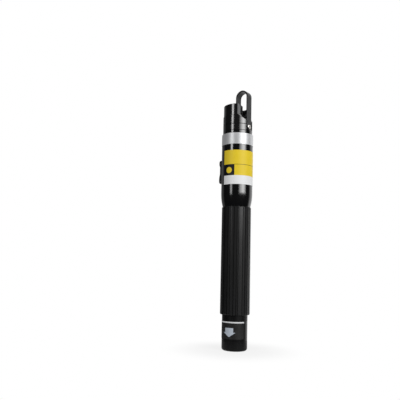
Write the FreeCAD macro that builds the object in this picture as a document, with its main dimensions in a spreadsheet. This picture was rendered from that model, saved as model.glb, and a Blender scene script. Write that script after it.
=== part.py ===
import FreeCAD, Part
import math
import os
import Sketcher

# Pen-style visual fault locator, built upright: +Z runs along its axis from
# the flat tail to the loop, +X points to the lever, -X to the thumb switch.
# All sizes are in millimetres and stand in one sheet, by alias.

SIZES = [
    # main turned body
    ("barrel_radius", 10.7), ("barrel_base", 104.5), ("barrel_top", 145.2),
    ("collar_radius", 10.13), ("collar_base", 145.6), ("shell_base", 147.5),
    ("taper_radius", 9.43), ("taper_base", 95.1), ("taper_bend", 34.9),
    ("tube_radius", 8.9), ("tube_base", 23.3), ("cell_bore", 7.4),
    ("chamber_radius", 9.0), ("chamber_floor", 112.0),
    ("socket_radius", 8.2), ("socket_top", 36.0), ("edge_break", 0.3),
    # flat and slot under the thumb switch
    ("flat_depth", 9.6), ("flat_low", 109.3), ("flat_high", 130.1), ("flat_width", 8.0),
    ("slot_depth", 7.8), ("slot_low", 115.0), ("slot_high", 124.4), ("slot_width", 4.6),
    ("cut_reach", 13.0),
    # head shell
    ("spigot_radius", 8.95), ("spigot_base", 139.0), ("laser_bore", 4.0),
    ("nose_base", 158.0), ("nose_radius", 9.8), ("rim_height", 166.0), ("rim_break", 0.3),
    ("cup_radius", 6.93), ("cup_floor", 153.5), ("mouth_width", 1.25), ("mouth_depth", 1.4),
    ("line_height", 151.9), ("line_depth", 0.2),
    ("step_rise", 0.25), ("seam_break", 0.15),
    # side opening and lever pocket in the head
    ("side_cut", 5.05), ("side_bend", 2.0), ("bend_height", 159.56), ("ledge_start", 5.7),
    ("ledge_height", 158.09), ("ledge_end", 152.3), ("side_reach", 12.0),
    ("side_top", 170.0), ("side_width", 24.0),
    ("pivot_x", 6.6), ("pivot_height", 150.6), ("pocket_sweep", 3.95), ("pocket_back", 5.1),
    ("pocket_top", 152.9), ("pocket_width", 6.8), ("leg_slot_back", 8.0), ("leg_slot_width", 6.0),
    ("pin_radius", 0.5), ("pin_hole_fit", 0.01), ("pin_front", 5.0), ("pin_length", 12.0),
    ("pin_hole_front", 5.1), ("pin_hole_length", 16.0),
    # lever strap
    ("strap_width", 5.4), ("strap_edge", 0.15), ("leg_inner", 8.4), ("leg_outer", 9.4),
    ("leg_end", 148.7), ("leg_corner", 2.1), ("arch_height", 171.9),
    ("arch_outer", 4.8), ("arch_inner", 3.8), ("stem_inner", -0.2), ("stem_outer", 0.8),
    ("stem_end", 163.9), ("screw_hole", 0.85), ("screw_hole_start", 9.6),
    ("screw_hole_length", 1.5),
    # lever screw
    ("shank_radius", 0.8), ("shank_end", 7.65), ("head_radius", 1.6), ("head_seat", 9.4),
    ("head_side", 9.58), ("head_top", 9.8), ("head_face", 1.3), ("key_flat", 0.6),
    ("key_point", 0.69282), ("key_depth", 0.3),
    # hinge knuckle
    ("knuckle_round", 1.2), ("knuckle_top", 152.0), ("knuckle_width", 4.8),
    ("knuckle_hole", 0.55), ("tap_depth", 0.8),
    # dust cap and pad
    ("cap_radius", 3.3), ("cap_base", 161.0), ("cap_top", 166.9), ("cap_round", 0.8),
    ("pad_radius", 2.45), ("pad_seat", 161.8), ("pad_base", 160.65), ("pad_fit", 0.05),
    ("cap_slot_fit", 0.05), ("cap_slot_floor", 163.85), ("cap_slot_top", 168.0),
    # optical port
    ("port_radius", 3.0), ("port_base", 149.0), ("port_top", 160.5), ("port_break", 0.3),
    ("port_entry", 1.28), ("entry_flare", 0.32), ("lip_base", 159.6), ("sleeve_bore", 1.66),
    ("sleeve_floor", 150.5), ("light_hole", 0.5),
    ("sleeve_radius", 1.64), ("sleeve_inner", 1.26), ("sleeve_gap", 0.1), ("split_width", 0.3),
    # laser housing, diode and lens
    ("housing_radius", 3.98), ("housing_base", 139.5), ("port_seat", 3.05),
    ("port_seat_floor", 148.9), ("stop_radius", 1.2), ("stop_base", 147.9), ("lens_bore", 2.1),
    ("flange_bore", 2.85), ("flange_bore_top", 141.8),
    ("flange_radius", 2.8), ("flange_base", 140.5), ("flange_top", 141.7), ("can_radius", 2.0),
    ("can_top", 144.5), ("lead_circle", 1.27), ("lead_radius", 0.22), ("lead_end", 136.5),
    ("lens_radius", 2.0), ("lens_base", 145.9), ("lens_rise", 0.5), ("lens_bend", 4.25),
    # driver board and what it carries
    ("board_back", 2.9), ("board_front", 1.7), ("board_width", 14.4), ("board_low", 113.2),
    ("board_high", 137.5), ("chip_front", 0.5), ("chip_width", 4.0), ("chip_low", 124.0),
    ("chip_high", 129.0), ("coil_radius", 2.2), ("coil_height", 119.4), ("coil_length", 2.2),
    ("switch_outer", 6.6), ("switch_low", 115.2), ("switch_high", 124.2), ("switch_width", 4.4),
    ("window_floor", 4.6), ("window_low", 116.2), ("window_high", 123.2), ("window_width", 2.6),
    ("actuator_foot", 4.8), ("actuator_tip", 8.6), ("actuator_low", 118.7),
    ("actuator_high", 120.7), ("actuator_width", 2.2),
    # thumb knob
    ("knob_under", 9.9), ("knob_low", 111.6), ("knob_high", 127.8), ("knob_width", 7.0),
    ("low_hump", 12.8), ("low_hump_start", 113.0), ("low_hump_end", 115.4),
    ("high_hump", 12.1), ("high_hump_start", 125.2), ("high_hump_end", 126.9),
    ("saddle_bend", 14.6), ("knob_nose", 0.6), ("knob_edge", 0.4),
    ("stem_reach", 7.4), ("stem_low", 117.2), ("stem_high", 122.2), ("stem_width", 4.0),
    ("socket_end", 8.7), ("socket_low", 118.6), ("socket_high", 120.8), ("socket_width", 2.4),
    # battery contacts and cells
    ("holder_small", 7.3), ("holder_base", 109.0), ("holder_large", 8.9), ("holder_top", 113.0),
    ("rod_offset", 0.9), ("rod_radius", 0.75), ("rod_hole", 1.0), ("rod_top", 115.5),
    ("contact_radius", 6.0), ("contact_base", 108.5),
    ("cell_radius", 7.1), ("cell_break", 0.3), ("cell_base", 7.5), ("cell_body", 49.2),
    ("cell_length", 50.5), ("button_radius", 2.75),
    # grip sleeve
    ("grip_radius", 9.94), ("grip_edge", 0.4), ("groove_floor", 9.5), ("groove_width", 0.55),
    ("groove_a", -79.0), ("groove_b", -65.0), ("groove_c", -54.0), ("groove_d", -48.0),
    ("groove_e", -30.0),
    # tail sleeve, contact and spring
    ("tail_radius", 8.5), ("tail_round", 1.7), ("tail_floor", 2.0), ("plug_radius", 8.15),
    ("plug_top", 35.3), ("plate_radius", 5.0), ("plate_top", 2.4),
    ("coil_mean", 4.0), ("wire_radius", 0.4), ("wire_side", 0.34641),
    ("spring_start", 2.85), ("spring_pitch", 1.35), ("spring_rise", 4.05),
    # printed wraps
    ("wrap_radius", 10.8), ("band_low", 137.5), ("wrap_low", 109.8),
    ("wrap_high", 133.2), ("wrap_angle", 222.0),
    ("sticker_radius", 8.6), ("sticker_low", 7.9), ("sticker_high", 19.3),
    ("sticker_angle", 141.0), ("sticker_turn", -82.2),
]

FULL_TURN = 360.0
GROOVE_REPEATS = 6


class Dim:
    """A number together with the sheet expression that gives it."""

    def __init__(self, value, text):
        self.value = value
        self.text = text

    def __add__(self, other):
        other = as_dim(other)
        return Dim(self.value + other.value, "(%s + %s)" % (self.text, other.text))

    def __sub__(self, other):
        other = as_dim(other)
        return Dim(self.value - other.value, "(%s - %s)" % (self.text, other.text))

    def __mul__(self, factor):
        return Dim(self.value * factor, "(%s * %s)" % (self.text, factor))

    def __neg__(self):
        return Dim(-self.value, "(0 - %s)" % self.text)


def as_dim(number):
    """Wrap a plain number so that it can be mixed with sheet sizes."""
    if isinstance(number, Dim):
        return number
    return Dim(float(number), "%s" % number)


doc = FreeCAD.newDocument("fault_locator")
sheet = doc.addObject("Spreadsheet::Sheet", "Dims")
SIZE = {}
for row, (alias, number) in enumerate(SIZES, 1):
    sheet.set("A%d" % row, alias)
    sheet.set("B%d" % row, str(number))
    sheet.setAlias("B%d" % row, alias)
    SIZE[alias] = Dim(number, "Dims.%s" % alias)
doc.recompute()


def size(alias):
    """Look a size up by its alias."""
    return SIZE[alias]


def new_body(label):
    """Start the body of one sub-part."""
    body = doc.addObject("PartDesign::Body", label)
    body.Label = label
    return body


def bind(target, path, dim):
    """Drive one property of a feature from the sheet."""
    target.setExpression(path, dim.text)


def place_sketch(body, plane, offset=None, turn=None, rise=None):
    """Add an empty sketch on one of the body's own origin planes.

    offset moves it along the plane's normal, rise along its own y, and turn
    swings it about the part's long axis."""
    sketch = body.newObject("Sketcher::SketchObject", "outline")
    role = plane + "_Plane"
    support = [item for item in body.Origin.OriginFeatures if item.Role == role][0]
    sketch.AttachmentSupport = (support, "")
    sketch.MapMode = "FlatFace"
    if turn is not None:
        spin = FreeCAD.Vector(0, 0, 1) if plane == "XY" else FreeCAD.Vector(0, 1, 0)
        turned = FreeCAD.Rotation(spin, turn.value)
        sketch.AttachmentOffset = FreeCAD.Placement(FreeCAD.Vector(0, 0, 0), turned)
        bind(sketch, "AttachmentOffset.Rotation.Angle", turn)
    if offset is not None:
        bind(sketch, "AttachmentOffset.Base.z", offset)
    if rise is not None:
        bind(sketch, "AttachmentOffset.Base.y", rise)
    return sketch


def pin_point(sketch, geometry, position, x, y):
    """Hold one point of a sketch at sheet-driven coordinates."""
    for kind, dim in (("DistanceX", as_dim(x)), ("DistanceY", as_dim(y))):
        rule = Sketcher.Constraint(kind, -1, 1, geometry, position, dim.value)
        index = sketch.addConstraint(rule)
        if "Dims" in dim.text:
            sketch.setExpression("Constraints[%d]" % index, dim.text)


def bend_centre(start, end, radius):
    """Centre of an arc; a positive radius bows the arc to the right of travel."""
    chord = end - start
    side = FreeCAD.Vector(-chord.y, chord.x, 0).normalize()
    reach = math.sqrt(max(radius ** 2 - chord.Length ** 2 / 4, 0.0))
    return (start + end) / 2 + side * math.copysign(reach, radius)


def draw_loop(sketch, corners):
    """Draw a closed outline. A third item in a corner bends the edge after it."""
    spots = [FreeCAD.Vector(as_dim(c[0]).value, as_dim(c[1]).value, 0) for c in corners]
    first = len(sketch.Geometry)
    starts = []
    for index, corner in enumerate(corners):
        start = spots[index]
        end = spots[(index + 1) % len(spots)]
        starts.append(add_edge(sketch, start, end, corner[2] if len(corner) > 2 else None))
    count = len(corners)
    for index in range(count):
        here = first + index
        following = first + (index + 1) % count
        sketch.addConstraint(Sketcher.Constraint(
            "Coincident", here, 3 - starts[index], following, starts[(index + 1) % count]))
    for index, corner in enumerate(corners):
        pin_point(sketch, first + index, starts[index], corner[0], corner[1])
        if len(corner) > 2:
            radius = corner[2]
            rule = Sketcher.Constraint("Radius", first + index, abs(radius.value))
            position = sketch.addConstraint(rule)
            text = radius.text if radius.value > 0 else "(0 - %s)" % radius.text
            sketch.setExpression("Constraints[%d]" % position, text)


def add_edge(sketch, start, end, radius):
    """Add one edge and return which of its ends (1 or 2) is the starting one."""
    if radius is None:
        sketch.addGeometry(Part.LineSegment(start, end))
        return 1
    centre = bend_centre(start, end, radius.value)
    first = math.atan2(start.y - centre.y, start.x - centre.x)
    last = math.atan2(end.y - centre.y, end.x - centre.x)
    circle = Part.Circle(centre, FreeCAD.Vector(0, 0, 1), abs(radius.value))
    if radius.value > 0:
        sketch.addGeometry(Part.ArcOfCircle(circle, first, last))
        return 1
    sketch.addGeometry(Part.ArcOfCircle(circle, last, first))
    return 2


def draw_circle(sketch, x, y, radius):
    """Draw one circle held by its centre and radius."""
    centre = FreeCAD.Vector(as_dim(x).value, as_dim(y).value, 0)
    index = sketch.addGeometry(Part.Circle(centre, FreeCAD.Vector(0, 0, 1), radius.value))
    pin_point(sketch, index, 3, x, y)
    position = sketch.addConstraint(Sketcher.Constraint("Radius", index, radius.value))
    sketch.setExpression("Constraints[%d]" % position, radius.text)


def rectangle(x_low, x_high, y_low, y_high):
    """Corners of an upright rectangle, in order."""
    return [(x_low, y_low), (x_high, y_low), (x_high, y_high), (x_low, y_high)]


def turn_profile(body, corners, angle=None, turn=None):
    """Revolve an outline of (radius, height) corners about the long axis."""
    sketch = place_sketch(body, "XZ", turn=turn)
    draw_loop(sketch, corners)
    doc.recompute()
    solid = body.newObject("PartDesign::Revolution", "turned")
    solid.Profile = sketch
    solid.ReferenceAxis = (sketch, ["V_Axis"])
    solid.Angle = FULL_TURN
    if angle is not None:
        solid.Midplane = True
        bind(solid, "Angle", angle)
    doc.recompute()
    return solid


def extrude(body, sketch, length, kind="Pad", both_ways=True, backwards=False):
    """Pad or pocket a sketch by a sheet-driven length."""
    doc.recompute()
    before = body.Shape.Volume if body.Tip else 0.0
    solid = body.newObject("PartDesign::" + kind, kind.lower())
    solid.Profile = sketch
    solid.Midplane = both_ways
    solid.Reversed = backwards
    bind(solid, "Length", length)
    doc.recompute()
    change = body.Shape.Volume - before
    if (kind == "Pad") != (change > 0):
        raise RuntimeError("%s did not change %s as planned" % (kind, body.Label))
    return solid


def slab(body, corners, width, kind="Pad"):
    """Pad or pocket an XZ outline evenly to both sides of the middle plane."""
    sketch = place_sketch(body, "XZ")
    draw_loop(sketch, corners)
    return extrude(body, sketch, width, kind)


def straight_hole(body, plane, x, y, radius, length, offset=None, rise=None, both_ways=True):
    """Cut a round hole square to a plane."""
    sketch = place_sketch(body, plane, offset=offset, rise=rise)
    draw_circle(sketch, x, y, radius)
    return extrude(body, sketch, length, "Pocket", both_ways)


def edges_where(shape, test):
    """Names of the edges whose every vertex, and middle, passes a test."""
    names = []
    for index, edge in enumerate(shape.Edges, 1):
        spots = [vertex.Point for vertex in edge.Vertexes] + [edge.CenterOfMass]
        if all(test(spot) for spot in spots):
            names.append("Edge%d" % index)
    return names


def break_edges(body, kind, test, dim):
    """Fillet or chamfer the edges that pass a test."""
    base = body.Tip
    names = edges_where(base.Shape, test)
    if not names:
        raise RuntimeError("no edge to break on " + body.Label)
    solid = body.newObject("PartDesign::" + kind, kind.lower())
    solid.Base = (base, names)
    bind(solid, "Radius" if kind == "Fillet" else "Size", dim)
    doc.recompute()
    return solid


def near(value, dim, margin=1e-4):
    """True where a coordinate equals a size."""
    return abs(value - as_dim(dim).value) < margin


def barrel_housing():
    """Body turned in one piece: battery tube, flared barrel and front collar."""
    body = new_body("barrel_housing")
    turn_profile(body, [
        (size("socket_radius"), size("tube_base")),
        (size("tube_radius"), size("tube_base")),
        (size("tube_radius"), size("taper_base")),
        (size("taper_radius"), size("taper_base"), size("taper_bend")),
        (size("barrel_radius"), size("barrel_base")),
        (size("barrel_radius"), size("barrel_top")),
        (size("collar_radius"), size("collar_base")),
        (size("collar_radius"), size("shell_base") - size("seam_break")),
        (size("collar_radius") - size("seam_break"), size("shell_base")),
        (size("chamber_radius"), size("shell_base")),
        (size("chamber_radius"), size("chamber_floor")),
        (size("cell_bore"), size("chamber_floor")),
        (size("cell_bore"), size("socket_top")),
        (size("socket_radius"), size("socket_top")),
    ])
    slab(body, rectangle(-size("cut_reach"), -size("flat_depth"),
                         size("flat_low"), size("flat_high")), size("flat_width"), "Pocket")
    slab(body, rectangle(-size("cut_reach"), -size("slot_depth"),
                         size("slot_low"), size("slot_high")), size("slot_width"), "Pocket")
    return body


def head_shell():
    """Turned head with a cup, a milled side opening and a round-bottomed pocket."""
    body = new_body("head_shell")
    turn_profile(body, [
        (size("laser_bore"), size("spigot_base")),
        (size("spigot_radius"), size("spigot_base")),
        (size("spigot_radius"), size("shell_base")),
        (size("collar_radius") - size("seam_break"), size("shell_base")),
        (size("collar_radius"), size("shell_base") + size("seam_break")),
        (size("collar_radius"), size("line_height") - size("line_depth")),
        (size("collar_radius") - size("line_depth"), size("line_height")),
        (size("collar_radius"), size("line_height") + size("line_depth")),
        (size("collar_radius"), size("nose_base")),
        (size("nose_radius"), size("nose_base") + size("step_rise")),
        (size("nose_radius"), size("rim_height") - size("rim_break"), size("rim_break")),
        (size("nose_radius") - size("rim_break"), size("rim_height")),
        (size("cup_radius") + size("mouth_width"), size("rim_height")),
        (size("cup_radius"), size("rim_height") - size("mouth_depth")),
        (size("cup_radius"), size("cup_floor")),
        (size("laser_bore"), size("cup_floor")),
    ])
    slab(body, [
        (size("side_cut"), size("side_top")),
        (size("side_cut"), size("bend_height"), size("side_bend")),
        (size("ledge_start"), size("ledge_height")),
        (size("side_reach"), size("ledge_end")),
        (size("side_reach"), size("side_top")),
    ], size("side_width"), "Pocket")
    slab(body, [
        (size("pocket_back"), size("pocket_top")),
        (size("pocket_back"), size("pivot_height") - size("pocket_sweep")),
        (size("pivot_x"), size("pivot_height") - size("pocket_sweep"), size("pocket_sweep")),
        (size("pivot_x") + size("pocket_sweep"), size("pivot_height")),
        (size("side_reach"), size("pivot_height")),
        (size("side_reach"), size("pocket_top")),
    ], size("pocket_width"), "Pocket")
    slab(body, rectangle(size("leg_slot_back"), size("side_reach"),
                         size("pivot_height"), size("side_top")), size("leg_slot_width"), "Pocket")
    straight_hole(body, "XZ", size("pivot_x"), size("pivot_height"),
                  size("pin_radius") + size("pin_hole_fit"), size("pin_hole_length"),
                  offset=size("pin_hole_front"), both_ways=False)
    return body


def hinge_pin():
    """Pin put in from the back of the head, blind at its front end."""
    body = new_body("hinge_pin")
    sketch = place_sketch(body, "XZ", offset=size("pin_front"))
    draw_circle(sketch, size("pivot_x"), size("pivot_height"), size("pin_radius"))
    extrude(body, sketch, size("pin_length"), "Pad", both_ways=False, backwards=True)
    return body


def cap_lever():
    """Strap bent into a U: one leg on the hinge, the other down into the cap."""
    body = new_body("cap_lever")
    middle = size("stem_inner") + size("arch_outer")
    slab(body, [
        (size("leg_inner"), size("leg_end")),
        (size("leg_outer"), size("leg_end")),
        (size("leg_outer"), size("arch_height"), size("arch_outer")),
        (middle, size("arch_height") + size("arch_outer"), size("arch_outer")),
        (size("stem_inner"), size("arch_height")),
        (size("stem_inner"), size("stem_end")),
        (size("stem_outer"), size("stem_end")),
        (size("stem_outer"), size("arch_height"), -size("arch_inner")),
        (middle, size("arch_height") + size("arch_inner"), -size("arch_inner")),
        (size("leg_inner"), size("arch_height")),
    ], size("strap_width"))
    side = size("strap_width") * 0.5
    cap_face = size("cap_top").value
    straight_hole(body, "YZ", 0, size("pivot_height"), size("screw_hole"),
                  size("screw_hole_length"), offset=size("screw_hole_start"), both_ways=False)
    break_edges(body, "Fillet", lambda p: near(p.z, size("leg_end")) and near(abs(p.y), side),
                size("leg_corner"))
    break_edges(body, "Chamfer", lambda p: near(abs(p.y), side) and p.z > cap_face,
                size("strap_edge"))
    return body


def lever_screw():
    """Low-headed screw that holds the strap to the knuckle."""
    body = new_body("lever_screw")
    sketch = place_sketch(body, "XZ", rise=size("pivot_height"))
    draw_loop(sketch, [
        (size("shank_end"), 0),
        (size("head_top"), 0),
        (size("head_top"), size("head_face")),
        (size("head_side"), size("head_radius")),
        (size("head_seat"), size("head_radius")),
        (size("head_seat"), size("shank_radius")),
        (size("shank_end"), size("shank_radius")),
    ])
    doc.recompute()
    solid = body.newObject("PartDesign::Revolution", "turned")
    solid.Profile = sketch
    solid.ReferenceAxis = (sketch, ["H_Axis"])
    solid.Angle = FULL_TURN
    doc.recompute()
    key = place_sketch(body, "YZ", offset=size("head_top"), rise=size("pivot_height"))
    flat = size("key_flat")
    point = size("key_point")
    draw_loop(key, [
        (flat, -point * 0.5), (flat, point * 0.5), (0, point),
        (-flat, point * 0.5), (-flat, -point * 0.5), (0, -point),
    ])
    extrude(body, key, size("key_depth"), "Pocket", both_ways=False)
    return body


def hinge_knuckle():
    """Block behind the strap that turns on the pin."""
    body = new_body("hinge_knuckle")
    back = size("pivot_x") - size("knuckle_round")
    foot = size("pivot_height") - size("knuckle_round")
    slab(body, [
        (back, size("knuckle_top")),
        (back, size("pivot_height"), size("knuckle_round")),
        (size("pivot_x"), foot),
        (size("leg_inner"), foot),
        (size("leg_inner"), size("knuckle_top")),
    ], size("knuckle_width"))
    straight_hole(body, "XZ", size("pivot_x"), size("pivot_height"), size("knuckle_hole"),
                  size("pin_length"))
    straight_hole(body, "YZ", 0, size("pivot_height"), size("screw_hole"),
                  size("tap_depth"), offset=size("leg_inner"), both_ways=False)
    return body


def dust_cap():
    """Round cap moulded on the strap's inner leg."""
    body = new_body("dust_cap")
    turn_profile(body, [
        (0, size("pad_seat")),
        (size("pad_radius") + size("pad_fit"), size("pad_seat")),
        (size("pad_radius") + size("pad_fit"), size("cap_base")),
        (size("cap_radius"), size("cap_base")),
        (size("cap_radius"), size("cap_top") - size("cap_round"), size("cap_round")),
        (size("cap_radius") - size("cap_round"), size("cap_top")),
        (0, size("cap_top")),
    ])
    fit = size("cap_slot_fit")
    slab(body, rectangle(size("stem_inner") - fit, size("stem_outer") + fit,
                         size("cap_slot_floor"), size("cap_slot_top")),
         size("strap_width") + fit * 2, "Pocket")
    return body


def seal_pad():
    """Soft disc that closes the port."""
    body = new_body("seal_pad")
    turn_profile(body, [
        (0, size("pad_base")), (size("pad_radius"), size("pad_base")),
        (size("pad_radius"), size("pad_seat")), (0, size("pad_seat")),
    ])
    return body


def port_body():
    """Receptacle for a 2.5 mm ferrule."""
    body = new_body("port_body")
    turn_profile(body, [
        (size("light_hole"), size("port_base")),
        (size("port_radius"), size("port_base")),
        (size("port_radius"), size("port_top") - size("port_break")),
        (size("port_radius") - size("port_break"), size("port_top")),
        (size("port_entry") + size("entry_flare"), size("port_top")),
        (size("port_entry"), size("port_top") - size("entry_flare")),
        (size("port_entry"), size("lip_base")),
        (size("sleeve_bore"), size("lip_base")),
        (size("sleeve_bore"), size("sleeve_floor")),
        (size("light_hole"), size("sleeve_floor")),
    ])
    return body


def ferrule_sleeve():
    """Split ceramic sleeve that lines up the ferrule."""
    body = new_body("ferrule_sleeve")
    low = size("sleeve_floor") + size("sleeve_gap")
    high = size("lip_base") - size("sleeve_gap")
    turn_profile(body, [
        (size("sleeve_inner"), low), (size("sleeve_radius"), low),
        (size("sleeve_radius"), high), (size("sleeve_inner"), high),
    ])
    sketch = place_sketch(body, "XY", offset=low)
    half = size("split_width") * 0.5
    draw_loop(sketch, rectangle(-half, half, 0, size("port_radius")))
    extrude(body, sketch, size("port_top") - low, "Pocket", both_ways=False, backwards=True)
    return body


def laser_housing():
    """Brass carrier that lines up diode, lens and port."""
    body = new_body("laser_housing")
    turn_profile(body, [
        (size("flange_bore"), size("housing_base")),
        (size("housing_radius"), size("housing_base")),
        (size("housing_radius"), size("cup_floor")),
        (size("port_seat"), size("cup_floor")),
        (size("port_seat"), size("port_seat_floor")),
        (size("stop_radius"), size("port_seat_floor")),
        (size("stop_radius"), size("stop_base")),
        (size("lens_bore"), size("stop_base")),
        (size("lens_bore"), size("flange_bore_top")),
        (size("flange_bore"), size("flange_bore_top")),
    ])
    return body


def laser_diode():
    """Red laser diode in a small metal can with three leads."""
    body = new_body("laser_diode")
    turn_profile(body, [
        (0, size("flange_base")), (size("flange_radius"), size("flange_base")),
        (size("flange_radius"), size("flange_top")), (size("can_radius"), size("flange_top")),
        (size("can_radius"), size("can_top")), (0, size("can_top")),
    ])
    sketch = place_sketch(body, "XY", offset=size("lead_end"))
    ring = size("lead_circle")
    draw_circle(sketch, -ring, 0, size("lead_radius"))
    draw_circle(sketch, 0, ring, size("lead_radius"))
    draw_circle(sketch, 0, -ring, size("lead_radius"))
    extrude(body, sketch, size("flange_top") - size("lead_end"), "Pad", both_ways=False)
    return body


def focus_lens():
    """Small lens, convex on both sides."""
    body = new_body("focus_lens")
    top = size("stop_base")
    turn_profile(body, [
        (0, size("lens_base"), size("lens_bend")),
        (size("lens_radius"), size("lens_base") + size("lens_rise")),
        (size("lens_radius"), top - size("lens_rise"), size("lens_bend")),
        (0, top),
    ])
    return body


def driver_board():
    """Circuit board that stands along the barrel."""
    body = new_body("driver_board")
    slab(body, rectangle(-size("board_back"), -size("board_front"),
                         size("board_low"), size("board_high")), size("board_width"))
    return body


def driver_chip():
    """Regulator chip on the board."""
    body = new_body("driver_chip")
    slab(body, rectangle(-size("board_front"), -size("chip_front"),
                         size("chip_low"), size("chip_high")), size("chip_width"))
    return body


def driver_inductor():
    """Round inductor on the board."""
    body = new_body("driver_inductor")
    sketch = place_sketch(body, "YZ", offset=-size("board_front"))
    draw_circle(sketch, 0, size("coil_height"), size("coil_radius"))
    extrude(body, sketch, size("coil_length"), "Pad", both_ways=False)
    return body


def switch_body():
    """Slide switch on the back of the board, open towards the knob."""
    body = new_body("switch_body")
    slab(body, rectangle(-size("switch_outer"), -size("board_back"),
                         size("switch_low"), size("switch_high")), size("switch_width"))
    slab(body, rectangle(-size("switch_outer"), -size("window_floor"),
                         size("window_low"), size("window_high")), size("window_width"), "Pocket")
    return body


def switch_actuator():
    """Tongue of the slide switch, driven by the knob."""
    body = new_body("switch_actuator")
    slab(body, rectangle(-size("actuator_tip"), -size("actuator_foot"),
                         size("actuator_low"), size("actuator_high")), size("actuator_width"))
    return body


def switch_knob():
    """Thumb knob with a hollowed top and a stem through the barrel wall."""
    body = new_body("switch_knob")
    slab(body, [
        (-size("knob_under"), size("knob_low")),
        (-size("knob_under"), size("knob_high")),
        (-(size("high_hump") - size("knob_nose")), size("knob_high")),
        (-size("high_hump"), size("high_hump_end")),
        (-size("high_hump"), size("high_hump_start"), -size("saddle_bend")),
        (-size("low_hump"), size("low_hump_end")),
        (-size("low_hump"), size("low_hump_start")),
        (-(size("low_hump") - size("knob_nose")), size("knob_low")),
    ], size("knob_width"))
    side = size("knob_width") * 0.5
    shoulder = (size("knob_under") + size("knob_nose")).value
    break_edges(body, "Fillet", lambda p: near(abs(p.y), side) and p.x < -shoulder,
                size("knob_edge"))
    slab(body, rectangle(-size("knob_under"), -size("stem_reach"),
                         size("stem_low"), size("stem_high")), size("stem_width"))
    slab(body, rectangle(-size("socket_end"), -size("stem_reach"),
                         size("socket_low"), size("socket_high")), size("socket_width"), "Pocket")
    return body


def contact_holder():
    """Insulating disc between battery tube and electronics."""
    body = new_body("contact_holder")
    turn_profile(body, [
        (0, size("holder_base")), (size("holder_small"), size("holder_base")),
        (size("holder_small"), size("chamber_floor")),
        (size("holder_large"), size("chamber_floor")),
        (size("holder_large"), size("holder_top")), (0, size("holder_top")),
    ])
    straight_hole(body, "XY", -size("rod_offset"), 0, size("rod_hole"),
                  size("holder_top") - size("holder_base"), offset=size("holder_top"),
                  both_ways=False)
    return body


def front_contact():
    """Contact disc with a rod that reaches the board."""
    body = new_body("front_contact")
    turn_profile(body, [
        (0, size("contact_base")), (size("contact_radius"), size("contact_base")),
        (size("contact_radius"), size("holder_base")), (0, size("holder_base")),
    ])
    sketch = place_sketch(body, "XY", offset=size("contact_base"))
    draw_circle(sketch, -size("rod_offset"), 0, size("rod_radius"))
    extrude(body, sketch, size("rod_top") - size("contact_base"), "Pad", both_ways=False)
    return body


def dry_cell(label, base):
    """One AA cell, button upwards."""
    body = new_body(label)
    shoulder = base + size("cell_body")
    top = base + size("cell_length")
    broken = size("cell_radius") - size("cell_break")
    turn_profile(body, [
        (0, base), (broken, base), (size("cell_radius"), base + size("cell_break")),
        (size("cell_radius"), shoulder - size("cell_break")), (broken, shoulder),
        (size("button_radius"), shoulder), (size("button_radius"), top), (0, top),
    ])
    return body


def grip_sleeve():
    """Rubber sleeve with long grooves in six repeats of five."""
    body = new_body("grip_sleeve")
    broken = size("grip_radius") - size("grip_edge")
    turn_profile(body, [
        (size("tube_radius"), size("tube_base")), (broken, size("tube_base")),
        (size("grip_radius"), size("tube_base") + size("grip_edge")),
        (size("grip_radius"), size("taper_base") - size("grip_edge")),
        (broken, size("taper_base")), (size("tube_radius"), size("taper_base")),
    ])
    grooves = []
    half = size("groove_width") * 0.5
    for name in ("groove_a", "groove_b", "groove_c", "groove_d", "groove_e"):
        sketch = place_sketch(body, "XY", turn=size(name))
        draw_loop(sketch, rectangle(size("groove_floor"), size("cut_reach"), -half, half))
        grooves.append(extrude(body, sketch, size("taper_base") + size("tube_base"), "Pocket",
                               both_ways=False, backwards=True))
    ring = body.newObject("PartDesign::PolarPattern", "all_grooves")
    ring.Originals = grooves
    ring.Axis = (grooves[0].Profile[0], ["N_Axis"])
    ring.Angle = FULL_TURN
    ring.Occurrences = GROOVE_REPEATS
    body.Tip = ring
    doc.recompute()
    return body


def tail_sleeve():
    """Closed tail whose plug slides into the battery tube."""
    body = new_body("tail_sleeve")
    turn_profile(body, [
        (0, 0),
        (size("tail_radius") - size("tail_round"), 0, size("tail_round")),
        (size("tail_radius"), size("tail_round")),
        (size("tail_radius"), size("tube_base")),
        (size("plug_radius"), size("tube_base")),
        (size("plug_radius"), size("plug_top")),
        (size("cell_bore"), size("plug_top")),
        (size("cell_bore"), size("tail_floor")),
        (0, size("tail_floor")),
    ])
    return body


def tail_contact():
    """Plate under the spring."""
    body = new_body("tail_contact")
    turn_profile(body, [
        (0, size("tail_floor")), (size("plate_radius"), size("tail_floor")),
        (size("plate_radius"), size("plate_top")), (0, size("plate_top")),
    ])
    return body


def tail_spring():
    """Coil spring of six-sided wire that presses the cells together."""
    body = new_body("tail_spring")
    sketch = place_sketch(body, "XZ")
    flat = size("wire_radius") * 0.5
    point = size("wire_radius")
    middle = size("coil_mean")
    height = size("spring_start")
    draw_loop(sketch, [
        (middle - point, height), (middle - flat, height - size("wire_side")),
        (middle + flat, height - size("wire_side")), (middle + point, height),
        (middle + flat, height + size("wire_side")),
        (middle - flat, height + size("wire_side")),
    ])
    doc.recompute()
    coil = body.newObject("PartDesign::AdditiveHelix", "coil")
    coil.Profile = sketch
    coil.ReferenceAxis = (sketch, ["V_Axis"])
    coil.Mode = 0
    bind(coil, "Pitch", size("spring_pitch"))
    bind(coil, "Height", size("spring_rise"))
    doc.recompute()
    return body


def printed_wrap(label, inner, outer, low, high, angle=None, turn=None):
    """Thin printed film on a round surface."""
    body = new_body(label)
    turn_profile(body, rectangle(inner, outer, low, high), angle=angle, turn=turn)
    return body


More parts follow.
